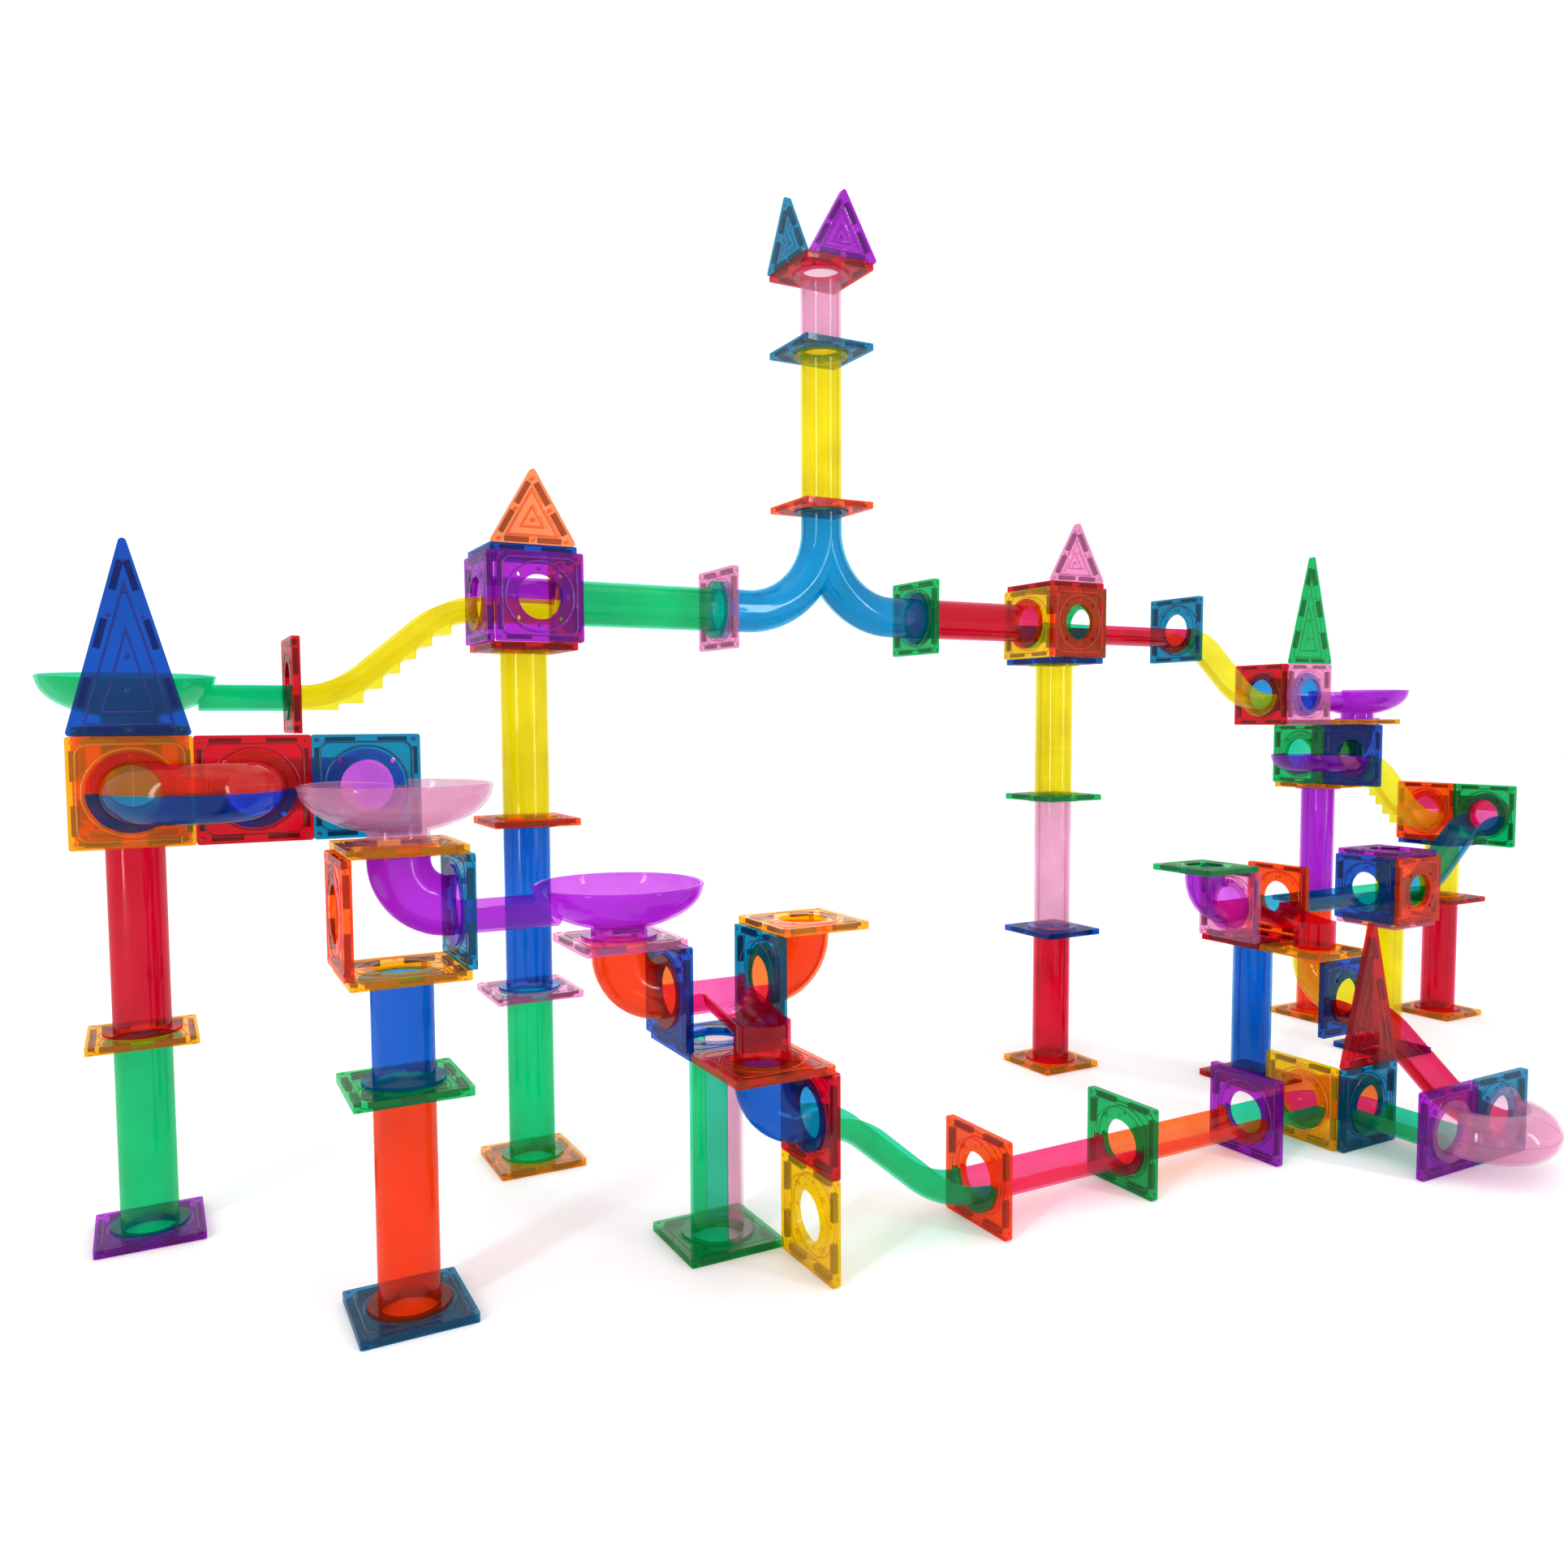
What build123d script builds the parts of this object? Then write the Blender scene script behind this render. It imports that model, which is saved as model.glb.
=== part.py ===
from build123d import *
import math
import os

# Magnetic marble run: square tiles with a round port, clear half pipes clipped into tubes,
# bowls, slides, a splitter and roof triangles, all on one 37.5 mm grid.
os.makedirs("parts", exist_ok=True)

# ---------------------------------------------------------------- driving sizes, mm
PITCH = 75.0            # tile grid
TILE = 74.8             # tile width, leaves 0.1 mm to each neighbour
THICK = 6.0             # tile thickness
CORNER = 2.0            # tile corner radius
PORT = 38.0             # round port through a tile
KEY_D = 4.0             # four key holes on the ring
KEY_R = 25.5
MAG = (20.0, 4.0, 3.6)  # bar magnet
MAG_AT = 18.0           # magnet centre along an edge
MAG_IN = 4.0            # magnet centre in from the edge
FIT = 0.1               # clearance around a magnet and at a tube seam
R_OUT, R_IN = 20.0, 18.0   # half pipe wall
R_FLANGE, T_FLANGE = 27.0, 2.0
LONG, SHORT = 144.0, 69.0  # tube lengths, two tile faces apart
LEVEL = 150.0           # long tube and its plate
DROP, SLOPE = 75.0, 40.0   # fall of an S slide and its steepest slope
ELBOW_V, ELBOW_H = 37.5, 34.5
BOWL_R, BOWL_TOP, BOWL_LOW, BOWL_REACH, BOWL_AXIS = 60.0, 36.5, 6.0, 109.5, 31.5
ARM, RISE = 109.5, 100.5   # splitter reach and height over its ports
TALL = 137.0            # height of a tall triangle
OUTLET, TROUGH_FALL, CUP = 22.0, 11.0, 27.0   # junction side outlet, chute fall and cup
X_MID, Y_MID = -161.6, -210.7   # middle of the footprint on the tile grid

UP, DOWN = (0, 0, 1), (0, 0, -1)
E, W, N, S = (1, 0, 0), (-1, 0, 0), (0, 1, 0), (0, -1, 0)


def place(shape, origin, x_dir, y_dir):
    """Shape moved so that its own X and Y point along x_dir and y_dir at a grid point."""
    z = Vector(*x_dir).cross(Vector(*y_dir))
    o = (origin[0] - X_MID, origin[1] - Y_MID, origin[2])
    return Plane(origin=o, x_dir=x_dir, z_dir=(z.X, z.Y, z.Z)).location * shape


# ---------------------------------------------------------------- tiles and magnets
def edge_magnets(size, length=MAG):
    """Eight bar magnets, two along each edge of a square tile."""
    a, b = MAG_AT, size / 2 - MAG_IN
    out = []
    for s in (-a, a):
        for t in (-b, b):
            out.append(Pos(s, t, 0) * Box(length[0], length[1], length[2]))
            out.append(Pos(t, s, 0) * Box(length[1], length[0], length[2]))
    return out


POCKET = tuple(m + 2 * FIT for m in MAG)

tile_magnet_shapes = edge_magnets(TILE)
tile_pocket_shapes = edge_magnets(TILE, POCKET)

with BuildPart() as tile_b:
    with BuildSketch():
        RectangleRounded(TILE, TILE, CORNER)
        Circle(PORT / 2, mode=Mode.SUBTRACT)
        with PolarLocations(KEY_R, 4, start_angle=45):
            Circle(KEY_D / 2, mode=Mode.SUBTRACT)
    extrude(amount=THICK / 2, both=True)
    add(tile_pocket_shapes, mode=Mode.SUBTRACT)
TILE_S = tile_b.part

with BuildPart() as mags_b:
    add(tile_magnet_shapes)
MAGS_S = mags_b.part


def spot(t):
    """Where a tile stands: lying (h), across the grid's X (w) or across its Y (u)."""
    kind, x, y, z = t
    if kind == "h":
        return (x, y, z + THICK / 2), E, N
    if kind == "w":
        return (x, y, z + PITCH / 2), N, UP
    return (x, y, z + PITCH / 2), E, UP


def tiles(ts):
    return [place(TILE_S, *spot(t)) for t in ts]


def magnets(ts):
    return [place(MAGS_S, *spot(t)) for t in ts]


# ---------------------------------------------------------------- half pipes
def half_ring(r_big, r_small, side):
    """Half an annulus: side -1 keeps what is below the local X axis, +1 what is above."""
    Circle(r_big)
    Circle(r_small, mode=Mode.SUBTRACT)
    with Locations((0, -side * ((r_big + 1) / 2 - FIT))):
        Rectangle(2 * r_big + 2, r_big + 1, mode=Mode.SUBTRACT)


def half_pipe(length, side=-1):
    """Straight half pipe along +X with a half flange at each end."""
    start = Plane(origin=(0, 0, 0), x_dir=(0, 1, 0), z_dir=(1, 0, 0))
    with BuildPart() as b:
        with BuildSketch(start):
            half_ring(R_OUT, R_IN, side)
        extrude(amount=length)
        for x in (0, length - T_FLANGE):
            with BuildSketch(start.offset(x)):
                half_ring(R_FLANGE, R_IN, side)
            extrude(amount=T_FLANGE)
    return b.part


def tube(length):
    """Two half pipes face to face."""
    return [half_pipe(length, -1), half_pipe(length, 1)]


def bent(kind, reach_a, reach_b, side, radius=32.0):
    """Half pipe that starts along +X: an elbow towards +Y, or a U back to the start plane."""
    with BuildPart() as b:
        with BuildLine() as path:
            if kind == "elbow":
                Line((0, 0), (reach_a - radius, 0))
                CenterArc((reach_a - radius, radius), radius, -90, 90)
                Line((reach_a, radius), (reach_a, reach_b))
            else:
                Line((0, 0), (reach_a, 0))
                CenterArc((reach_a, reach_b / 2), reach_b / 2, -90, 180)
                Line((reach_a, reach_b), (0, reach_b))
        with BuildSketch(Plane(origin=(0, 0, 0), x_dir=(0, 1, 0), z_dir=(1, 0, 0))) as sec:
            half_ring(R_OUT, R_IN, side)
        sweep(sections=sec.sketch, path=path.wires()[0])
        with BuildSketch(Plane(origin=(0, 0, 0), x_dir=(0, 1, 0), z_dir=(1, 0, 0))):
            half_ring(R_FLANGE, R_IN, side)
        extrude(amount=T_FLANGE)
        if kind == "elbow":
            end = Plane(origin=(reach_a, reach_b, 0), x_dir=(-1, 0, 0), z_dir=(0, 1, 0))
            with BuildSketch(end):
                half_ring(R_FLANGE, R_IN, side)
            extrude(amount=-T_FLANGE)
        else:
            end = Plane(origin=(0, reach_b, 0), x_dir=(0, 1, 0), z_dir=(1, 0, 0))
            with BuildSketch(end):
                half_ring(R_FLANGE, R_IN, side)
            extrude(amount=T_FLANGE)
    return b.part


def slide(stair, length=LONG):
    """Open S slide along +X that falls DROP over its length, plain or with a stepped underside."""
    c, n = math.cos(math.radians(SLOPE)), math.sin(math.radians(SLOPE))
    ch, nh = math.cos(math.radians(SLOPE / 2)), math.sin(math.radians(SLOPE / 2))
    r = (length * n - DROP * c) / (2 * (1 - c))

    def fall(x):
        if x < r * n:
            return -(r - (r * r - x * x) ** 0.5)
        if x > length - r * n:
            return -DROP + r - (r * r - (length - x) ** 2) ** 0.5
        return -r * (1 - c) - (x - r * n) * n / c

    start = Plane(origin=(0, 0, 0), x_dir=(0, 1, 0), z_dir=(1, 0, 0))
    p1, p2 = (r * n, 0, -r * (1 - c)), (length - r * n, 0, -DROP + r * (1 - c))
    with BuildPart() as b:
        with BuildLine() as path:
            ThreePointArc((0, 0, 0), (r * nh, 0, -r * (1 - ch)), p1)
            Line(p1, p2)
            ThreePointArc(p2, (length - r * nh, 0, -DROP + r * (1 - ch)), (length, 0, -DROP))
        line = path.wires()[0]
        with BuildSketch(start) as sec:
            half_ring(R_OUT, R_IN, -1)
        sweep(sections=sec.sketch, path=line)
        for x, z in ((0, 0), (length - T_FLANGE, -DROP)):
            with BuildSketch(Plane(origin=(x, 0, z), x_dir=(0, 1, 0), z_dir=(1, 0, 0))):
                half_ring(R_FLANGE, R_IN + 0.5, -1)
            extrude(amount=T_FLANGE)
        if stair:
            stops = (24, 40, 53, 66, 80, 95, 114, 133)
            for a, e in zip(stops[:-1], stops[1:]):
                low, high = fall(e) - R_OUT, fall(a) - 2
                with Locations(((a + e) / 2, 0, (low + high) / 2)):
                    Box(e - a, 30, high - low)
            with BuildSketch(start) as core:
                Circle(R_IN)
            sweep(sections=core.sketch, path=line, mode=Mode.SUBTRACT)
    return b.part


def bowl():
    """Funnel bowl over a tile port with an open inlet channel along +X."""
    depth = BOWL_TOP - BOWL_LOW
    with BuildPart() as b:
        with BuildSketch(Plane.XZ):
            with Locations((0, BOWL_TOP)):
                Ellipse(BOWL_R, depth)
                Ellipse(BOWL_R - 2, depth - 2, mode=Mode.SUBTRACT)
            with Locations((-BOWL_R, BOWL_TOP / 2)):
                Rectangle(2 * BOWL_R, 4 * BOWL_R, mode=Mode.SUBTRACT)
            with Locations((BOWL_R, BOWL_TOP + BOWL_R)):
                Rectangle(2 * BOWL_R, 2 * BOWL_R, mode=Mode.SUBTRACT)
            with Locations((BOWL_R - 1, BOWL_TOP)):
                Circle(1.6)
        revolve(axis=Axis.Z)
        Cylinder(R_FLANGE, T_FLANGE, align=(Align.CENTER, Align.CENTER, Align.MIN))
        Cylinder(R_OUT, BOWL_LOW + 3, align=(Align.CENTER, Align.CENTER, Align.MIN))
        Cylinder(R_IN, 4 * BOWL_LOW, align=(Align.CENTER, Align.CENTER, Align.MIN),
                 mode=Mode.SUBTRACT)
        inlet = Plane(origin=(46, 0, BOWL_AXIS), x_dir=(0, 1, 0), z_dir=(1, 0, 0))
        with BuildSketch(inlet):
            half_ring(R_OUT, R_IN, -1)
        extrude(amount=BOWL_REACH - 46)
        with BuildSketch(inlet):
            Circle(R_IN)
            with Locations((0, R_IN / 2)):
                Rectangle(2 * R_IN, R_IN)
        extrude(amount=20, mode=Mode.SUBTRACT)
        with BuildSketch(Plane.XZ):
            with Locations((0, BOWL_TOP)):
                Ellipse(BOWL_R - 2, depth - 2)
            with Locations((-BOWL_R, BOWL_TOP)):
                Rectangle(2 * BOWL_R, 4 * BOWL_R, mode=Mode.SUBTRACT)
            with Locations((BOWL_R, BOWL_TOP + BOWL_R)):
                Rectangle(2 * BOWL_R, 2 * BOWL_R, mode=Mode.SUBTRACT)
        revolve(axis=Axis.Z, mode=Mode.SUBTRACT)
        with BuildSketch(inlet.offset(BOWL_REACH - 46 - T_FLANGE)):
            half_ring(R_FLANGE, R_IN, -1)
        extrude(amount=T_FLANGE)
    return b.part


def junction():
    """Open short channel along +X with a side outlet towards -Y."""
    start = Plane(origin=(0, 0, 0), x_dir=(0, 1, 0), z_dir=(1, 0, 0))
    leg = Plane(origin=(SHORT / 2, 0, 0), x_dir=(1, 0, 0), z_dir=(0, -1, 0))
    with BuildPart() as b:
        with BuildSketch(start):
            half_ring(R_OUT, R_IN, -1)
        extrude(amount=SHORT)
        with BuildSketch(leg):
            half_ring(R_OUT, R_IN, -1)
        extrude(amount=OUTLET)
        with BuildSketch(start):
            Circle(R_IN)
        extrude(amount=SHORT, mode=Mode.SUBTRACT)
        with BuildSketch(leg):
            Circle(R_IN)
        extrude(amount=OUTLET, mode=Mode.SUBTRACT)
        for x in (0, SHORT - T_FLANGE):
            with BuildSketch(start.offset(x)):
                half_ring(R_FLANGE, R_IN, -1)
            extrude(amount=T_FLANGE)
    return b.part


def chute():
    """Sloped trough along +X from a side outlet into an open cup over the next port."""
    gap = PITCH - OUTLET
    start = Plane(origin=(0, 0, 0), x_dir=(0, 1, 0), z_dir=(1, 0, 0))
    with BuildPart() as b:
        with BuildLine() as path:
            Line((0, 0, 0), (gap, 0, -TROUGH_FALL))
        line = path.wires()[0]
        with BuildSketch(start) as sec:
            half_ring(R_OUT, R_IN, -1)
        sweep(sections=sec.sketch, path=line)
        with Locations((gap, 0, -ELBOW_V)):
            Cylinder(R_OUT, CUP, align=(Align.CENTER, Align.CENTER, Align.MIN))
        with BuildSketch(start) as core:
            Circle(R_IN)
        sweep(sections=core.sketch, path=line, mode=Mode.SUBTRACT)
        with Locations((gap, 0, -ELBOW_V)):
            Cylinder(R_IN, 2 * ELBOW_V, align=(Align.CENTER, Align.CENTER, Align.MIN),
                     mode=Mode.SUBTRACT)
    return b.part


def splitter_arm(radius, s):
    """Solid arm of the splitter: down from the top port and out to one side."""
    bend = 82.0
    mid = bend * (1 - 0.5 ** 0.5)
    with BuildPart() as b:
        with BuildLine() as path:
            Line((0, 0, RISE), (0, 0, bend))
            ThreePointArc((0, 0, bend), (s * mid, 0, mid), (s * bend, 0, 0))
            Line((s * bend, 0, 0), (s * ARM, 0, 0))
        with BuildSketch(Plane(origin=(0, 0, RISE), x_dir=(1, 0, 0), z_dir=(0, 0, -1))) as sec:
            Circle(radius)
        sweep(sections=sec.sketch, path=path.wires()[0])
    return b.part


def splitter(side):
    """Front or back half of the splitter: one port on top, one at the end of each arm."""
    outer = [splitter_arm(R_OUT, s) for s in (-1, 1)]
    inner = [splitter_arm(R_IN, s) for s in (-1, 1)]
    with BuildPart() as b:
        add(outer)
        with Locations((0, 0, 32)):
            Box(40, 3, 20)
        with Locations((0, 0, RISE - T_FLANGE)):
            Cylinder(R_FLANGE, T_FLANGE, align=(Align.CENTER, Align.CENTER, Align.MIN))
        for s in (-1, 1):
            with Locations(Pos(s * (ARM - T_FLANGE / 2), 0, 0) * Rot(0, 90, 0)):
                Cylinder(R_FLANGE, T_FLANGE)
        add(inner, mode=Mode.SUBTRACT)
        with Locations((0, -side * (60 - FIT), RISE / 2)):
            Box(400, 120, 400, mode=Mode.SUBTRACT)
    return b.part


# ---------------------------------------------------------------- roof triangles
def tri_face(height):
    """Corners of the upright triangle on its base line."""
    return [(-TILE / 2, 0), (TILE / 2, 0), (0, height)]


def tri_magnets(height, size, n_side):
    """Bar magnets along the base and up both slopes of a triangle."""
    half = TILE / 2
    slope = (half ** 2 + height ** 2) ** 0.5
    ang = math.degrees(math.atan2(height, half))
    out = [Pos(s * 14, MAG_IN, 0) * Box(*size) for s in (-1, 1)]
    gap = 28.0 if n_side == 2 else 40.0
    for k in range(n_side):
        along = slope / 2 + (k - (n_side - 1) / 2) * gap
        x = half - along * half / slope - MAG_IN * height / slope
        y = along * height / slope - MAG_IN * half / slope
        for s in (-1, 1):
            out.append(Pos(s * x, y, 0) * Rot(0, 0, -s * ang) * Box(*size))
    return out


def triangle(height, n_side):
    pockets = tri_magnets(height, POCKET, n_side)
    with BuildPart() as b:
        with BuildSketch():
            with BuildLine():
                Polyline(*tri_face(height), close=True)
            make_face()
        extrude(amount=THICK / 2, both=True)
        fillet(b.part.edges().filter_by(Axis.Z), 2.5)
        add(pockets, mode=Mode.SUBTRACT)
    return b.part


# ---------------------------------------------------------------- shapes used again and again
LOWER_LONG, UPPER_LONG = half_pipe(LONG, -1), half_pipe(LONG, 1)
LOWER_SHORT, UPPER_SHORT = half_pipe(SHORT, -1), half_pipe(SHORT, 1)
BEND_V = {s: bent("elbow", ELBOW_V, ELBOW_H, s) for s in (-1, 1)}
BEND_H = {s: bent("elbow", ELBOW_H, ELBOW_V, s) for s in (-1, 1)}
U_TURN = {s: bent("u", 6.0, PITCH, s) for s in (-1, 1)}
PLAIN, STAIR = slide(False), slide(True)
PLAIN_END = slide(False, LONG + THICK / 2)   # ends on the tile past the corner tile
BOWL = bowl()
JUNCTION, CHUTE = junction(), chute()
SPLIT = {s: splitter(s) for s in (-1, 1)}
EQUI = TILE * 3 ** 0.5 / 2
SHELL_EQUI, SHELL_TALL = triangle(EQUI, 2), triangle(TALL, 3)
MAGS_EQUI, MAGS_TALL = tri_magnets(EQUI, MAG, 2), tri_magnets(TALL, MAG, 3)


def run(lower, upper, origin, x_dir, y_dir):
    """Both halves of a tube, laid from origin along x_dir."""
    return [place(lower, origin, x_dir, y_dir), place(upper, origin, x_dir, y_dir)]


def column(x, y, z, short=False):
    """Upright tube standing on the plate top at height z."""
    pair = (LOWER_SHORT, UPPER_SHORT) if short else (LOWER_LONG, UPPER_LONG)
    return run(*pair, (x, y, z + THICK), UP, E)


def drop_elbow(x, y, z, way):
    """Elbow hung under the plate whose underside is at z, turned to way."""
    return [place(BEND_V[s], (x, y, z), DOWN, way) for s in (-1, 1)]


# Port heights: a tile edge at z has its port at z + PITCH / 2
def port(z):
    return z + PITCH / 2


# ---------------------------------------------------------------- where every tile is
# h lies flat, w stands across the long axis, u stands across the short axis; x, y, low z
PURPLE = [("h", -900, 0, 0), ("u", -597, -40.6, 456), ("w", -637.5, 0, 456),
          ("h", 375, -150, 231), ("w", -37.5, -300, 0), ("u", 75, -415.5, 0)]
GREEN = [("h", -525, -225, 0), ("w", -187.5, 0, 456), ("h", 0, 0, 300), ("w", 412.5, 0, 306),
         ("h", 75, -150, 231), ("h", -750, -225, 150), ("w", -187.5, -300, 0),
         ("w", 562.5, -150, 231), ("w", 37.5, 0, 456)]
BLUE = [("h", 0, 0, 150), ("h", 0, 0, 450), ("h", -600, 0, 531), ("h", -525, -225, 150),
        ("w", -562.5, -225, 156), ("w", 412.5, -75, 306), ("h", 375, -150, 0),
        ("w", 337.5, -150, 156), ("u", 150, -262.5, 75), ("h", 600, -75, 225)]
TEAL = [("u", -750, -112.5, 306), ("w", 187.5, 0, 456), ("h", -300, 0, 744),
        ("h", -750, -225, 0), ("w", -712.5, -225, 231), ("w", -487.5, -225, 156),
        ("u", 75, -340.5, 0), ("u", 150, -415.5, 0), ("w", 487.5, 0, 306),
        ("h", 450, 0, 150)]
RED = [("w", -787.5, 0, 381), ("u", -825, -112.5, 306), ("h", -600, 0, 450),
       ("h", -300, 0, 819), ("h", 0, 0, 531), ("w", 337.5, 0, 381), ("h", 150, -150, 0),
       ("h", 150, -150, 150), ("w", -487.5, -300, 75), ("h", 600, -75, 150)]
PINK = [("h", -600, 0, 150), ("w", -412.5, 0, 456), ("u", 375, -40.5, 381),
        ("h", 375, -150, 150), ("w", 112.5, -150, 156), ("h", -600, -225, 231)]
AMBER = [("h", -900, 0, 150), ("u", -900, -112.5, 306), ("h", -600, 0, 0), ("h", 0, 0, 0),
         ("h", 450, 0, 0), ("h", 450, 0, 300), ("h", 450, 0, 381), ("h", 525, 0, 381),
         ("h", 600, -75, 0), ("h", -750, -225, 225), ("h", -750, -225, 306),
         ("h", -450, -225, 231), ("h", 150, -225, 150)]
ORANGE = [("h", -600, 0, 300), ("h", -300, 0, 594), ("u", -3, -40.6, 456),
          ("w", 562.5, -75, 231), ("u", 372, -190.6, 156), ("w", 187.5, -150, 156),
          ("w", -787.5, -225, 231), ("h", -525, -300, 150), ("w", -337.5, -300, 0),
          ("u", -900, -37.5, 306), ("u", -900, 37.5, 306)]
YELLOW = [("w", -37.5, 0, 456), ("w", -487.5, -300, 0), ("w", 37.5, -300, 0),
          ("w", -562.5, 0, 456), ("h", -900, 0, 300), ("h", -900, 0, 381),
          ("w", 412.5, -150, 156)]


# ---------------------------------------------------------------- tiles, one colour at a time
with BuildPart() as tiles_purple:
    add(tiles(PURPLE))
tiles_purple.part.label = "tiles_purple"
export_step(tiles_purple.part, "parts/tiles_purple.step")

with BuildPart() as tiles_green:
    add(tiles(GREEN))
tiles_green.part.label = "tiles_green"
export_step(tiles_green.part, "parts/tiles_green.step")

with BuildPart() as tiles_blue:
    add(tiles(BLUE))
tiles_blue.part.label = "tiles_blue"
export_step(tiles_blue.part, "parts/tiles_blue.step")

with BuildPart() as tiles_teal:
    add(tiles(TEAL))
tiles_teal.part.label = "tiles_teal"
export_step(tiles_teal.part, "parts/tiles_teal.step")

with BuildPart() as tiles_red:
    add(tiles(RED))
tiles_red.part.label = "tiles_red"
export_step(tiles_red.part, "parts/tiles_red.step")

with BuildPart() as tiles_pink:
    add(tiles(PINK))
tiles_pink.part.label = "tiles_pink"
export_step(tiles_pink.part, "parts/tiles_pink.step")

with BuildPart() as tiles_amber:
    add(tiles(AMBER))
tiles_amber.part.label = "tiles_amber"
export_step(tiles_amber.part, "parts/tiles_amber.step")

with BuildPart() as tiles_orange:
    add(tiles(ORANGE))
tiles_orange.part.label = "tiles_orange"
export_step(tiles_orange.part, "parts/tiles_orange.step")

with BuildPart() as tiles_yellow:
    add(tiles(YELLOW))
tiles_yellow.part.label = "tiles_yellow"
export_step(tiles_yellow.part, "parts/tiles_yellow.step")

with BuildPart() as tile_magnets:
    add(magnets(PURPLE + GREEN + BLUE + TEAL + RED + PINK + AMBER + ORANGE + YELLOW))
tile_magnets.part.label = "tile_magnets"
export_step(tile_magnets.part, "parts/tile_magnets.step")


# ---------------------------------------------------------------- tubes
with BuildPart() as tubes_green:
    add([
        *column(-900, 0, 0),
        *column(-600, 0, 0),
        *run(LOWER_LONG, UPPER_LONG, (-559.5, 0, port(456)), E, N),
        *[place(UPPER_SHORT, (415.5, 0, port(306)), E, N)],
        *[place(LOWER_LONG, (-525, -225, THICK), UP, S)],
    ])
tubes_green.part.label = "tubes_green"
export_step(tubes_green.part, "parts/tubes_green.step")

with BuildPart() as tubes_red:
    add([
        *column(-900, 0, 150),
        *column(0, 0, 0),
        *column(600, -75, 0),
        *run(LOWER_LONG, UPPER_LONG, (-184.5, 0, port(456)), E, N),
    ])
tubes_red.part.label = "tubes_red"
export_step(tubes_red.part, "parts/tubes_red.step")

with BuildPart() as tubes_blue:
    add([
        *column(-600, 0, 150),
        *column(150, -150, 0),
        *column(-750, -225, 150, short=True),
        *[place(LOWER_SHORT, (415.5, 0, port(306)), E, N)],
    ])
tubes_blue.part.label = "tubes_blue"
export_step(tubes_blue.part, "parts/tubes_blue.step")

with BuildPart() as tubes_yellow:
    add([
        *column(-600, 0, 300),
        *column(0, 0, 300),
        *column(375, -150, 0),
        *column(-300, 0, 594),
        *column(600, -75, 150, short=True),
        *[place(LOWER_SHORT, (-634.5, 0, port(456)), E, N)],
    ])
tubes_yellow.part.label = "tubes_yellow"
export_step(tubes_yellow.part, "parts/tubes_yellow.step")

with BuildPart() as tubes_pink:
    add([
        *column(0, 0, 150),
        *column(-300, 0, 744, short=True),
        *[place(UPPER_LONG, (-525, -225, THICK), UP, S)],
    ])
tubes_pink.part.label = "tubes_pink"
export_step(tubes_pink.part, "parts/tubes_pink.step")

with BuildPart() as tubes_orange:
    add([
        *column(450, 0, 0),
        *column(-750, -225, 0),
        *run(LOWER_SHORT, UPPER_SHORT, (-900, -40.5, port(306)), S, E),
    ])
tubes_orange.part.label = "tubes_orange"
export_step(tubes_orange.part, "parts/tubes_orange.step")

with BuildPart() as tubes_purple:
    add([
        *column(450, 0, 150),
        *[place(UPPER_SHORT, (-634.5, 0, port(456)), E, N)],
    ])
tubes_purple.part.label = "tubes_purple"
export_step(tubes_purple.part, "parts/tubes_purple.step")


# ---------------------------------------------------------------- open channels
with BuildPart() as channel_red:
    add(place(LOWER_LONG, (40.5, 0, port(456)), E, N))
channel_red.part.label = "channel_red"
export_step(channel_red.part, "parts/channel_red.step")

with BuildPart() as channel_rose:
    add(place(LOWER_LONG, (-334.5, -300, port(0)), E, N))
channel_rose.part.label = "channel_rose"
export_step(channel_rose.part, "parts/channel_rose.step")

with BuildPart() as channel_orange:
    add(place(LOWER_LONG, (-184.5, -300, port(0)), E, N))
channel_orange.part.label = "channel_orange"
export_step(channel_orange.part, "parts/channel_orange.step")

with BuildPart() as channel_teal:
    add(place(LOWER_LONG, (334.5, -150, port(156)), W, S))
channel_teal.part.label = "channel_teal"
export_step(channel_teal.part, "parts/channel_teal.step")

with BuildPart() as channels_green:
    add([
        *[place(LOWER_SHORT, (-34.5, -300, port(0)), E, N)],
        *[place(LOWER_SHORT, (75, -343.5, port(0)), S, E)],
        *[place(LOWER_SHORT, (340.5, -150, port(156)), E, N)],
        *[place(LOWER_SHORT, (-34.5, 0, port(456)), E, N)],
    ])
channels_green.part.label = "channels_green"
export_step(channels_green.part, "parts/channels_green.step")


# ---------------------------------------------------------------- elbows and U turns
with BuildPart() as elbows_purple:
    add([
        *drop_elbow(-750, -225, 306, E),
        *drop_elbow(75, -150, 231, E),
    ])
elbows_purple.part.label = "elbows_purple"
export_step(elbows_purple.part, "parts/elbows_purple.step")

with BuildPart() as elbows_orange:
    add([
        *drop_elbow(-600, -225, 231, E),
        *drop_elbow(-450, -225, 231, W),
        *[place(BEND_V[1], (525, 0, 381), DOWN, W)],
        *[place(BEND_H[-1], (40.5, -300, port(0)), E, S)],
    ])
elbows_orange.part.label = "elbows_orange"
export_step(elbows_orange.part, "parts/elbows_orange.step")

with BuildPart() as elbows_red:
    add([
        *[place(BEND_V[-1], (525, 0, 381), DOWN, W)],
        *[place(BEND_H[1], (40.5, -300, port(0)), E, S)],
    ])
elbows_red.part.label = "elbows_red"
export_step(elbows_red.part, "parts/elbows_red.step")

with BuildPart() as elbows_blue:
    add([
        *drop_elbow(-525, -300, 150, E),
        *[place(BEND_H[s], (340.5, 0, port(381)), E, S) for s in (-1, 1)],
    ])
elbows_blue.part.label = "elbows_blue"
export_step(elbows_blue.part, "parts/elbows_blue.step")

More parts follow.
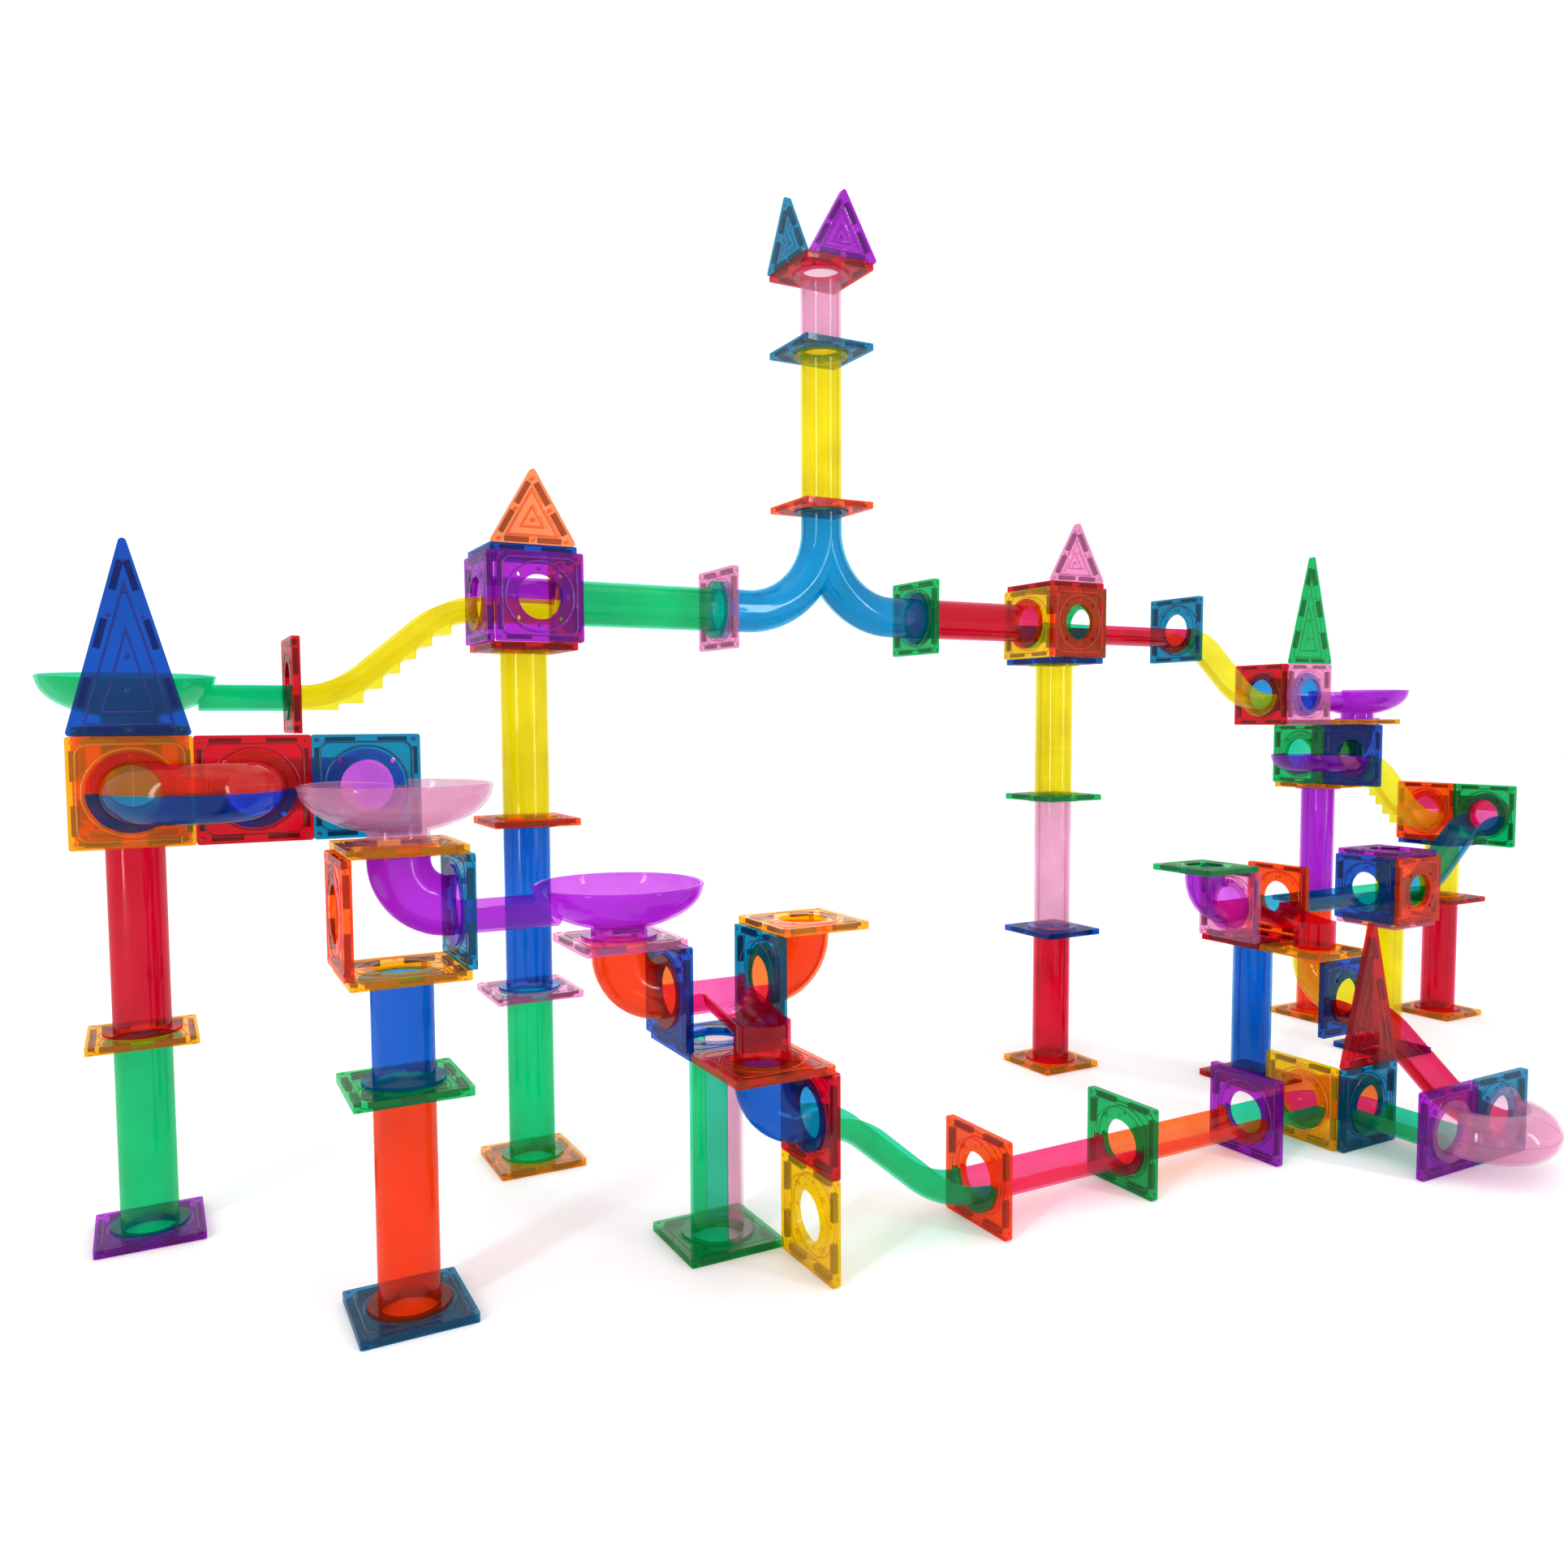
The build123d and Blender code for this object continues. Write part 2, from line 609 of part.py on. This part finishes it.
with BuildPart() as elbow_yellow:
    add(drop_elbow(150, -225, 150, S))
elbow_yellow.part.label = "elbow_yellow"
export_step(elbow_yellow.part, "parts/elbow_yellow.step")

with BuildPart() as elbow_green:
    add(drop_elbow(-900, 0, 381, S))
elbow_green.part.label = "elbow_green"
export_step(elbow_green.part, "parts/elbow_green.step")

with BuildPart() as u_turn_orange:
    add(place(U_TURN[1], (-900, -115.5, port(306)), S, E))
u_turn_orange.part.label = "u_turn_orange"
export_step(u_turn_orange.part, "parts/u_turn_orange.step")

with BuildPart() as u_turn_blue:
    add(place(U_TURN[-1], (-900, -115.5, port(306)), S, E))
u_turn_blue.part.label = "u_turn_blue"
export_step(u_turn_blue.part, "parts/u_turn_blue.step")

with BuildPart() as u_turns_purple:
    add([
        *[place(U_TURN[s], (-825, -109.5, port(306)), N, E) for s in (-1, 1)],
        *[place(U_TURN[1], (409.5, -75, port(306)), W, N)],
    ])
u_turns_purple.part.label = "u_turns_purple"
export_step(u_turns_purple.part, "parts/u_turns_purple.step")

with BuildPart() as u_turn_red:
    add(place(U_TURN[1], (565.5, -150, port(231)), E, N))
u_turn_red.part.label = "u_turn_red"
export_step(u_turn_red.part, "parts/u_turn_red.step")

with BuildPart() as u_turn_magenta:
    add(place(U_TURN[-1], (565.5, -150, port(231)), E, N))
u_turn_magenta.part.label = "u_turn_magenta"
export_step(u_turn_magenta.part, "parts/u_turn_magenta.step")

with BuildPart() as u_turn_pink:
    add([place(U_TURN[s], (75, -418.5, port(0)), S, E) for s in (-1, 1)])
u_turn_pink.part.label = "u_turn_pink"
export_step(u_turn_pink.part, "parts/u_turn_pink.step")


# ---------------------------------------------------------------- slides, junctions, splitter, bowls
with BuildPart() as slides_stair:
    add([
        *[place(STAIR, (-640.5, 0, port(456)), W, S)],
        *[place(STAIR, (415.5, -75, port(306)), E, N)],
    ])
slides_stair.part.label = "slides_stair"
export_step(slides_stair.part, "parts/slides_stair.step")

with BuildPart() as slide_yellow:
    add(place(PLAIN, (190.5, 0, port(456)), E, N))
slide_yellow.part.label = "slide_yellow"
export_step(slide_yellow.part, "parts/slide_yellow.step")

with BuildPart() as slide_green:
    add(place(PLAIN, (-484.5, -300, port(75)), E, N))
slide_green.part.label = "slide_green"
export_step(slide_green.part, "parts/slide_green.step")

with BuildPart() as slide_teal:
    add(place(PLAIN, (559.5, -150, port(231)), W, S))
slide_teal.part.label = "slide_teal"
export_step(slide_teal.part, "parts/slide_teal.step")

with BuildPart() as slide_red:
    add(place(PLAIN_END, (150, -265.5, port(75)), S, E))
slide_red.part.label = "slide_red"
export_step(slide_red.part, "parts/slide_red.step")

with BuildPart() as junction_magenta:
    add(place(JUNCTION, (-559.5, -225, port(156)), E, N))
junction_magenta.part.label = "junction_magenta"
export_step(junction_magenta.part, "parts/junction_magenta.step")

with BuildPart() as junction_red:
    add(place(JUNCTION, (115.5, -150, port(156)), E, N))
junction_red.part.label = "junction_red"
export_step(junction_red.part, "parts/junction_red.step")

with BuildPart() as chutes_red:
    add([
        *[place(CHUTE, (-525, -225 - OUTLET, port(156)), S, E)],
        *[place(CHUTE, (150, -150 - OUTLET, port(156)), S, E)],
    ])
chutes_red.part.label = "chutes_red"
export_step(chutes_red.part, "parts/chutes_red.step")

with BuildPart() as splitter_cyan:
    add([place(SPLIT[s], (-300, 0, port(456)), E, N) for s in (-1, 1)])
splitter_cyan.part.label = "splitter_cyan"
export_step(splitter_cyan.part, "parts/splitter_cyan.step")

with BuildPart() as bowl_green:
    add(place(BOWL, (-900, 0, 387), E, N))
bowl_green.part.label = "bowl_green"
export_step(bowl_green.part, "parts/bowl_green.step")

with BuildPart() as bowl_pink:
    add(place(BOWL, (-750, -225, 312), N, W))
bowl_pink.part.label = "bowl_pink"
export_step(bowl_pink.part, "parts/bowl_pink.step")

with BuildPart() as bowls_purple:
    add([
        *[place(BOWL, (-600, -225, 237), W, S)],
        *[place(BOWL, (525, 0, 387), W, S)],
    ])
bowls_purple.part.label = "bowls_purple"
export_step(bowls_purple.part, "parts/bowls_purple.step")


# ---------------------------------------------------------------- roof triangles, each with its magnets
EDGE = PITCH / 2 - THICK / 2     # a roof triangle stands flush with a plate edge
TURN = 4.2                       # two on one plate are turned past each other at the corner


def standing(shapes, x, y, z, x_dir):
    return [place(one, (x, y, z), x_dir, UP) for one in shapes]

with BuildPart() as triangle_orange:
    add(standing([SHELL_EQUI], -600, -EDGE, 537, E))
triangle_orange.part.label = "triangle_orange"
export_step(triangle_orange.part, "parts/triangle_orange.step")

with BuildPart() as triangle_orange_magnets:
    add(standing(MAGS_EQUI, -600, -EDGE, 537, E))
triangle_orange_magnets.part.label = "triangle_orange_magnets"
export_step(triangle_orange_magnets.part, "parts/triangle_orange_magnets.step")

with BuildPart() as triangle_pink:
    add(standing([SHELL_EQUI], 0, -EDGE, 537, E))
triangle_pink.part.label = "triangle_pink"
export_step(triangle_pink.part, "parts/triangle_pink.step")

with BuildPart() as triangle_pink_magnets:
    add(standing(MAGS_EQUI, 0, -EDGE, 537, E))
triangle_pink_magnets.part.label = "triangle_pink_magnets"
export_step(triangle_pink_magnets.part, "parts/triangle_pink_magnets.step")

with BuildPart() as triangle_teal:
    add(standing([SHELL_EQUI], -300 - EDGE, TURN, 825, N))
triangle_teal.part.label = "triangle_teal"
export_step(triangle_teal.part, "parts/triangle_teal.step")

with BuildPart() as triangle_teal_magnets:
    add(standing(MAGS_EQUI, -300 - EDGE, TURN, 825, N))
triangle_teal_magnets.part.label = "triangle_teal_magnets"
export_step(triangle_teal_magnets.part, "parts/triangle_teal_magnets.step")

with BuildPart() as triangle_purple:
    add(standing([SHELL_EQUI], -300 + TURN, -EDGE, 825, E))
triangle_purple.part.label = "triangle_purple"
export_step(triangle_purple.part, "parts/triangle_purple.step")

with BuildPart() as triangle_purple_magnets:
    add(standing(MAGS_EQUI, -300 + TURN, -EDGE, 825, E))
triangle_purple_magnets.part.label = "triangle_purple_magnets"
export_step(triangle_purple_magnets.part, "parts/triangle_purple_magnets.step")

with BuildPart() as triangle_blue:
    add(standing([SHELL_TALL], -900, -112.5, 381, E))
triangle_blue.part.label = "triangle_blue"
export_step(triangle_blue.part, "parts/triangle_blue.step")

with BuildPart() as triangle_blue_magnets:
    add(standing(MAGS_TALL, -900, -112.5, 381, E))
triangle_blue_magnets.part.label = "triangle_blue_magnets"
export_step(triangle_blue_magnets.part, "parts/triangle_blue_magnets.step")

with BuildPart() as triangle_green:
    add(standing([SHELL_TALL], 375, -40.5, 456, E))
triangle_green.part.label = "triangle_green"
export_step(triangle_green.part, "parts/triangle_green.step")

with BuildPart() as triangle_green_magnets:
    add(standing(MAGS_TALL, 375, -40.5, 456, E))
triangle_green_magnets.part.label = "triangle_green_magnets"
export_step(triangle_green_magnets.part, "parts/triangle_green_magnets.step")

with BuildPart() as triangle_red:
    add(standing([SHELL_TALL], 75, -340.5, 75, E))
triangle_red.part.label = "triangle_red"
export_step(triangle_red.part, "parts/triangle_red.step")

with BuildPart() as triangle_red_magnets:
    add(standing(MAGS_TALL, 75, -340.5, 75, E))
triangle_red_magnets.part.label = "triangle_red_magnets"
export_step(triangle_red_magnets.part, "parts/triangle_red_magnets.step")
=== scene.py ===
import math

import bpy
import numpy as np
from mathutils import Matrix, Vector


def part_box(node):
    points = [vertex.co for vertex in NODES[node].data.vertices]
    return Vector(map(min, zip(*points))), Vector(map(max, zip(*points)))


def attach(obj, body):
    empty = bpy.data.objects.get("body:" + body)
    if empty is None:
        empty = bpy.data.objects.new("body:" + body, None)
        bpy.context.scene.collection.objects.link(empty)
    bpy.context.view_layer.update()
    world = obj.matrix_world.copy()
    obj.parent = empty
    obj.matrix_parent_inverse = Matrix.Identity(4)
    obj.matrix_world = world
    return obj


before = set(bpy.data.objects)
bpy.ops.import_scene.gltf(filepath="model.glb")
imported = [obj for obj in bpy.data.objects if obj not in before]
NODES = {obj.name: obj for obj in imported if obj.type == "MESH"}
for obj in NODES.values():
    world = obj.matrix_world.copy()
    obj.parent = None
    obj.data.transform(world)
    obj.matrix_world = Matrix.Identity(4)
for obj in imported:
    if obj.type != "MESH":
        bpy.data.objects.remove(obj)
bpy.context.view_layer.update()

MM = 0.001
scene = bpy.context.scene


# ---------------------------------------------------------------- camera
def camera(at, turned, tipped, rolled, lens, shift):
    """A camera turned right from +Y, tipped down and rolled, in degrees."""
    turned, tipped, rolled = (math.radians(a) for a in (turned, tipped, rolled))
    sideways = Vector((math.cos(turned), -math.sin(turned), 0))
    ahead = Vector((math.sin(turned), math.cos(turned), 0))
    up = Vector((0, 0, 1))
    forward = math.cos(tipped) * ahead - math.sin(tipped) * up
    above = math.sin(tipped) * ahead + math.cos(tipped) * up
    right = math.cos(rolled) * sideways + math.sin(rolled) * above
    top = -math.sin(rolled) * sideways + math.cos(rolled) * above
    data = bpy.data.cameras.new("camera")
    data.sensor_width, data.lens, data.shift_y = 36, lens, shift
    data.clip_end = 60
    cam = bpy.data.objects.new("camera", data)
    scene.collection.objects.link(cam)
    axes = Matrix((right, top, -forward)).transposed().to_4x4()
    cam.matrix_world = Matrix.Translation(at) @ axes
    scene.camera = cam


camera((-0.7314, -0.7962, 0.3895), 28.64, 3.68, -0.26, lens=26.95, shift=0.0075)

# ------------------------------------------------------------- materials
# seen against white: (one wall of a moulded tile, both walls of a thin tube)
PLASTIC = {
    "purple": ((179, 38, 206), (178, 44, 214)),
    "green": ((7, 190, 108), (0, 202, 126)),
    "blue": ((6, 86, 189), (4, 104, 212)),
    "teal": ((1, 137, 177), (2, 130, 180)),
    "red": ((213, 3, 38), (214, 2, 50)),
    "pink": ((240, 156, 204), (242, 178, 210)),
    "amber": ((250, 178, 5), (250, 175, 5)),
    "orange": ((254, 92, 20), (254, 70, 18)),
    "yellow": ((246, 204, 4), (248, 228, 2)),
    "cyan": ((2, 160, 215), (2, 158, 215)),
    "magenta": ((250, 45, 135), (250, 45, 135)),
    "rose": ((248, 30, 90), (248, 34, 94)),
}
HIGHLIT_ORANGE = (254, 150, 96)      # the orange of one triangle, made paler as a painted highlight
DARKEST = 0.0015            # no channel of a tint is fully black
GRAZING_SKIN = 0.26         # least share of glossy skin on faces seen edge on
# body: share of skin seen square on; grain: scale of the fine bumps; power: takes
# the colour seen through the whole piece to that of one of its surfaces
TILE_LOOK = {"body": 0.14, "bump": 0.25, "grain": 260.0, "power": 0.5}
THIN_LOOK = {"body": 0.13, "bump": 0.12, "grain": 160.0, "power": 0.25}
LINE_LOOK = {"body": 0.3, "bump": 0.15, "grain": 260.0, "power": 0.9}


def linear(rgb):
    return [max(DARKEST, (c / 255) ** 2.2) for c in rgb]


def material(name):
    m = bpy.data.materials.new(name)
    m.use_nodes = True
    return m


def clear(name, rgb, body, bump, grain, power):
    """Clear tinted plastic: light goes through it tinted, and its skin is glossy."""
    m = material(name)
    t = m.node_tree
    t.nodes.clear()
    lin = linear(rgb)
    once = [c ** power for c in lin]

    def node(kind, **values):
        n = t.nodes.new(kind)
        for k, v in values.items():
            n.inputs[k.replace("_", " ")].default_value = v
        return n

    def link(a, i, b, o):
        t.links.new(a.outputs[i], b.inputs[o])

    def ramp(dark, pale):
        n = t.nodes.new("ShaderNodeValToRGB")
        n.color_ramp.elements[0].color = [*dark, 1]
        n.color_ramp.elements[1].color = [*pale, 1]
        return n

    where = node("ShaderNodeTexCoord")
    flow = node("ShaderNodeTexNoise", Scale=14.0, Detail=2.0, Distortion=0.6)
    fine = node("ShaderNodeTexNoise", Scale=grain, Detail=4.0)
    link(where, "Object", flow, "Vector")
    link(where, "Object", fine, "Vector")

    tint = ramp([c * 0.93 for c in once], [min(1, c * 1.03) for c in once])
    tint.color_ramp.elements[0].position = 0.3
    tint.color_ramp.elements[1].position = 0.7
    link(flow, "Fac", tint, "Fac")
    through = node("ShaderNodeBsdfTransparent")
    link(tint, "Color", through, "Color")

    deep = ramp([0.62 * c ** 1.25 for c in lin], [0.88 * c ** 1.15 for c in lin])
    link(flow, "Fac", deep, "Fac")
    rough = node("ShaderNodeMapRange", To_Min=0.05, To_Max=0.16)
    link(fine, "Fac", rough, "Value")
    dent = node("ShaderNodeBump", Strength=bump, Distance=0.0004)
    link(fine, "Fac", dent, "Height")
    skin = node("ShaderNodeBsdfPrincipled", IOR=1.55, Coat_Weight=1.0, Coat_IOR=1.6,
                Coat_Roughness=0.03)
    link(deep, "Color", skin, "Base Color")
    link(rough, "Result", skin, "Roughness")
    link(dent, "Normal", skin, "Normal")

    edge = node("ShaderNodeLayerWeight", Blend=0.35)
    share = node("ShaderNodeMapRange", To_Min=body, To_Max=max(body, GRAZING_SKIN))
    link(edge, "Facing", share, "Value")
    mix = node("ShaderNodeMixShader")
    link(share, "Result", mix, 0)
    link(through, 0, mix, 1)
    link(skin, 0, mix, 2)
    out = node("ShaderNodeOutputMaterial")
    link(mix, 0, out, "Surface")
    return m


def steel():
    """Dull dark magnets, as they look when sealed in a coloured rim."""
    m = material("magnet_steel")
    t = m.node_tree
    p = t.nodes["Principled BSDF"]
    where = t.nodes.new("ShaderNodeTexCoord")
    noise = t.nodes.new("ShaderNodeTexNoise")
    noise.inputs["Scale"].default_value, noise.inputs["Detail"].default_value = 900, 3
    grey = t.nodes.new("ShaderNodeValToRGB")
    grey.color_ramp.elements[0].color = (0.075, 0.115, 0.085, 1)
    grey.color_ramp.elements[1].color = (0.2, 0.27, 0.215, 1)
    rough = t.nodes.new("ShaderNodeMapRange")
    rough.inputs["To Min"].default_value, rough.inputs["To Max"].default_value = 0.35, 0.6
    t.links.new(where.outputs["Object"], noise.inputs["Vector"])
    t.links.new(noise.outputs["Fac"], grey.inputs["Fac"])
    t.links.new(noise.outputs["Fac"], rough.inputs["Value"])
    t.links.new(grey.outputs["Color"], p.inputs["Base Color"])
    t.links.new(rough.outputs["Result"], p.inputs["Roughness"])
    p.inputs["Metallic"].default_value = 0.4
    return m


STEEL = steel()
TILE = {k: clear(f"tile_{k}", v[0], **TILE_LOOK) for k, v in PLASTIC.items()}
THIN = {k: clear(f"thin_{k}", v[1], **THIN_LOOK) for k, v in PLASTIC.items()}
LINE = {k: clear(f"line_{k}", v[0], **LINE_LOOK) for k, v in PLASTIC.items()}
# a paler copy of the orange for one triangle and its lines: a painted highlight
TILE["peach"] = clear("tile_peach", HIGHLIT_ORANGE, **TILE_LOOK)
LINE["peach"] = clear("line_peach", HIGHLIT_ORANGE, **LINE_LOOK)


def colour_of(name):
    if name == "slides_stair":
        return "yellow"
    return next(w for w in reversed(name.split("_")) if w in PLASTIC)


def soften(o):
    """Rounds the moulded edges of a tile or triangle."""
    o.modifiers.new("weld", "WELD").merge_threshold = 0.000002
    bevel = o.modifiers.new("bevel", "BEVEL")
    bevel.width, bevel.segments, bevel.limit_method = 0.7 * MM, 2, "ANGLE"
    bevel.angle_limit = math.radians(50)
    bevel.use_clamp_overlap = True
    o.modifiers.new("normals", "WEIGHTED_NORMAL").keep_sharp = False


for name, o in NODES.items():
    moulded = name.startswith(("tiles_", "triangle_")) and not name.endswith("magnets")
    if name.endswith("magnets"):
        m = STEEL
    elif moulded:
        # the orange triangle takes the paler orange, a painted highlight
        m = TILE["peach" if name == "triangle_orange" else colour_of(name)]
    else:
        m = THIN[colour_of(name)]
    o.data.materials.clear()
    o.data.materials.append(m)
    if moulded:
        soften(o)

# -------------------------------------------------- moulded surface lines
# this section is in millimetres, until Lines.ridge makes vertices
RIDGE = (-0.05, 0.3, 0.3, -0.05)                # heights across a ridge
TILE_THICK, TILE_SIDE = (5, 7), (74, 76)        # what tells a tile from another solid
RING_RADII = (28.3, 28.7, 29.5, 29.9)
SQUARE_HALVES = (31.3, 31.7, 32.3, 32.7)
SQUARE_CORNER = 7.5                             # radius where the half side is 32
SIDE_RIVET, CORNER_RIVET = 23.6, 33.6           # distance from the centre along x or y
SIDES = ((1, 0), (0, 1), (-1, 0), (0, -1))
CORNERS = ((1, 1), (-1, 1), (-1, -1), (1, -1))
TRIANGLE_RIDGE = (0, 0.35, 1.05, 1.4)           # steps inwards across a ridge
TALL = 100                                      # least height of a tall triangle


def solids(o):
    """Lowest and highest corner of each loose part of a node."""
    co = np.empty(len(o.data.vertices) * 3)
    o.data.vertices.foreach_get("co", co)
    co = co.reshape(-1, 3) / MM
    _, same = np.unique(np.round(co, 2), axis=0, return_inverse=True)
    same = same.ravel()
    e = np.empty(len(o.data.edges) * 2, int)
    o.data.edges.foreach_get("vertices", e)
    a, b = same[e.reshape(-1, 2)].T
    # each point takes the lowest label among its neighbours, until nothing changes
    label = np.arange(same.max() + 1)
    while True:
        low = np.minimum(label[a], label[b])
        new = label.copy()
        np.minimum.at(new, a, low)
        np.minimum.at(new, b, low)
        new = new[new]
        if (new == label).all():
            break
        label = new
    part = label[same]
    return [(co[part == k].min(0), co[part == k].max(0)) for k in np.unique(part)]


def circle(r, n, x=0.0, y=0.0):
    step = 2 * math.pi / n
    return [(x + r * math.cos(i * step), y + r * math.sin(i * step)) for i in range(n)]


def soft_square(half, r, n=6):
    """A square with corners of radius r, each in n steps."""
    c, pts = half - r, []
    for k, (sx, sy) in enumerate(CORNERS):
        for i in range(n + 1):
            a = math.pi / 2 * (k + i / n)
            pts.append((sx * c + r * math.cos(a), sy * c + r * math.sin(a)))
    return pts


def face_planes(low, high):
    """The two faces of a thin slab: matrices that take (x, y, height) to the frame."""
    mid, size = (low + high) / 2, high - low
    k = int(np.argmin(size))
    for s in (1, -1):
        z = Vector([s * (i == k) for i in range(3)])
        x = Vector((0, 1, 0)) if k == 0 else Vector((1, 0, 0))
        y = z.cross(x)
        if y.z < 0:
            x, y = -x, -y
        m = Matrix((x, y, z)).transposed().to_4x4()
        yield Matrix.Translation(Vector(mid) + z * size[k] / 2) @ m


class Lines:
    """Low ridges and rivets on flat faces, gathered into one mesh."""

    def __init__(self):
        self.verts, self.faces = [], []

    def ridge(self, at, loops, heights, cap=False):
        """Bridges closed loops of 2-D points, each at its own height above the face."""
        first, n = len(self.verts), len(loops[0])
        for loop, h in zip(loops, heights):
            self.verts += [at @ Vector((x, y, h)) * MM for x, y in loop]
        for k in range(len(loops) - 1):
            p, q = first + k * n, first + (k + 1) * n
            self.faces += [(p + i, p + (i + 1) % n, q + (i + 1) % n, q + i) for i in range(n)]
        if cap:
            self.faces.append(tuple(range(first + (len(loops) - 1) * n, len(self.verts))))

    def rivet(self, at, x, y, r, h=0.3):
        """A low dome of radius r and height h."""
        rings = [circle(r * s, 14, x, y) for s in (1, 0.9, 0.55)]
        self.ridge(at, rings, (-0.05, h * 0.7, h), cap=True)

    def piece(self, name, body, colour):
        me = bpy.data.meshes.new(name)
        me.from_pydata(self.verts, [], self.faces)
        me.polygons.foreach_set("use_smooth", [True] * len(me.polygons))
        # the orange triangle's lines take the paler orange, a painted highlight
        me.materials.append(LINE["peach" if name == "triangle_orange_lines" else colour])
        o = bpy.data.objects.new(name, me)
        scene.collection.objects.link(o)
        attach(o, body)


def is_tile(low, high):
    thick, short, long = sorted(high - low)
    return TILE_THICK[0] < thick < TILE_THICK[1] and TILE_SIDE[0] < short and long < TILE_SIDE[1]


def tile_lines(colour):
    """The ring, the inner square and the rivets on both faces of a colour's tiles."""
    lines = Lines()
    for low, high in solids(NODES[f"tiles_{colour}"]):
        if not is_tile(low, high):
            continue
        for at in face_planes(low, high):
            lines.ridge(at, [circle(r, 56) for r in RING_RADII], RIDGE)
            lines.ridge(at, [soft_square(h, SQUARE_CORNER + h - 32) for h in SQUARE_HALVES], RIDGE)
            for sx, sy in SIDES:
                lines.rivet(at, sx * SIDE_RIVET, sy * SIDE_RIVET, r=1.7, h=0.2)
            for sx, sy in CORNERS:
                lines.rivet(at, sx * CORNER_RIVET, sy * CORNER_RIVET, r=1.6)
    lines.piece(f"tile_lines_{colour}", "root", colour)


def triangle_lines(name):
    """Two nested triangles, and rivets in the middle and along the rim, on both faces."""
    low, high = (np.array(p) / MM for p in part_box(name))
    size = high - low
    width, height = float(max(size[:2])), float(size[2])
    tall = height >= TALL
    leg = math.hypot(width / 2, height)
    inner = width * height / (width + 2 * leg)      # radius of the inscribed circle
    mid_y = -height / 2 + inner
    corners = [(-width / 2, -height / 2), (width / 2, -height / 2), (0, height / 2)]

    def inset(d):
        s = (inner - d) / inner
        return [(x * s, mid_y + (y - mid_y) * s) for x, y in corners]

    lines = Lines()
    for at in face_planes(low, high):
        for d in (7.2, 15.5) if tall else (7.2, 14.2):
            lines.ridge(at, [inset(d + w) for w in TRIANGLE_RIDGE], RIDGE)
        for y in (-0.27 * height, -0.09 * height, 0.24 * height) if tall else (mid_y,):
            lines.rivet(at, 0, y, r=2.0)
        rim = inset(3.9)
        for (x0, y0), (x1, y1) in zip(rim, rim[1:] + rim[:1]):
            for t in (0, 0.32, 0.68) if tall and y0 != y1 else (0, 0.5):
                lines.rivet(at, x0 + (x1 - x0) * t, y0 + (y1 - y0) * t, r=1.6)
    lines.piece(f"{name}_lines", f"roof_{name}", name.split("_")[1])


for colour in PLASTIC:
    if f"tiles_{colour}" in NODES:
        tile_lines(colour)
for name in [n for n in NODES if n.startswith("triangle_") and not n.endswith("magnets")]:
    triangle_lines(name)


# ------------------------------------------------------- floor and light
def pale_floor(radius, n=96):
    """A wide pale disc, just below the lines under the foot tiles."""
    me = bpy.data.meshes.new("floor")
    me.from_pydata([(x, y, -0.4 * MM) for x, y in circle(radius, n)], [], [tuple(range(n))])
    floor = bpy.data.objects.new("floor", me)
    scene.collection.objects.link(floor)
    pale = material("pale_floor")
    p = pale.node_tree.nodes["Principled BSDF"]
    p.inputs["Base Color"].default_value = (0.93, 0.93, 0.93, 1)
    p.inputs["Roughness"].default_value = 0.75
    p.inputs["Specular IOR Level"].default_value = 0.1
    me.materials.append(pale)


def white_world(strength):
    world = bpy.data.worlds.new("studio")
    scene.world = world
    world.use_nodes = True
    back = world.node_tree.nodes["Background"]
    back.inputs["Color"].default_value = (1, 1, 1, 1)
    back.inputs["Strength"].default_value = strength


def softbox(name, at, look, size, power):
    data = bpy.data.lights.new(name, "AREA")
    data.shape, data.size, data.size_y, data.energy = "RECTANGLE", size[0], size[1], power
    o = bpy.data.objects.new(name, data)
    scene.collection.objects.link(o)
    aim = Vector(look) - Vector(at)
    o.matrix_world = Matrix.Translation(at) @ aim.to_track_quat("-Z", "Y").to_matrix().to_4x4()
    o.visible_camera = False


pale_floor(14.0)
white_world(1.08)           # slightly over white, so that the floor's edge doesn't show
softbox("left_softbox", (-2.3, -1.1, 0.9), (-0.2, 0, 0.4), (0.2, 2.0), 28)
softbox("right_softbox", (1.2, -2.4, 0.9), (0.2, 0, 0.4), (0.2, 2.0), 28)
softbox("top_softbox", (-0.2, -0.3, 2.6), (0, 0, 0.3), (1.6, 1.6), 9)
softbox("back_softbox", (0.6, 2.2, 1.2), (0, 0, 0.4), (1.2, 1.2), 7)

scene.view_settings.view_transform = "Standard"
scene.cycles.transparent_max_bounces = 64
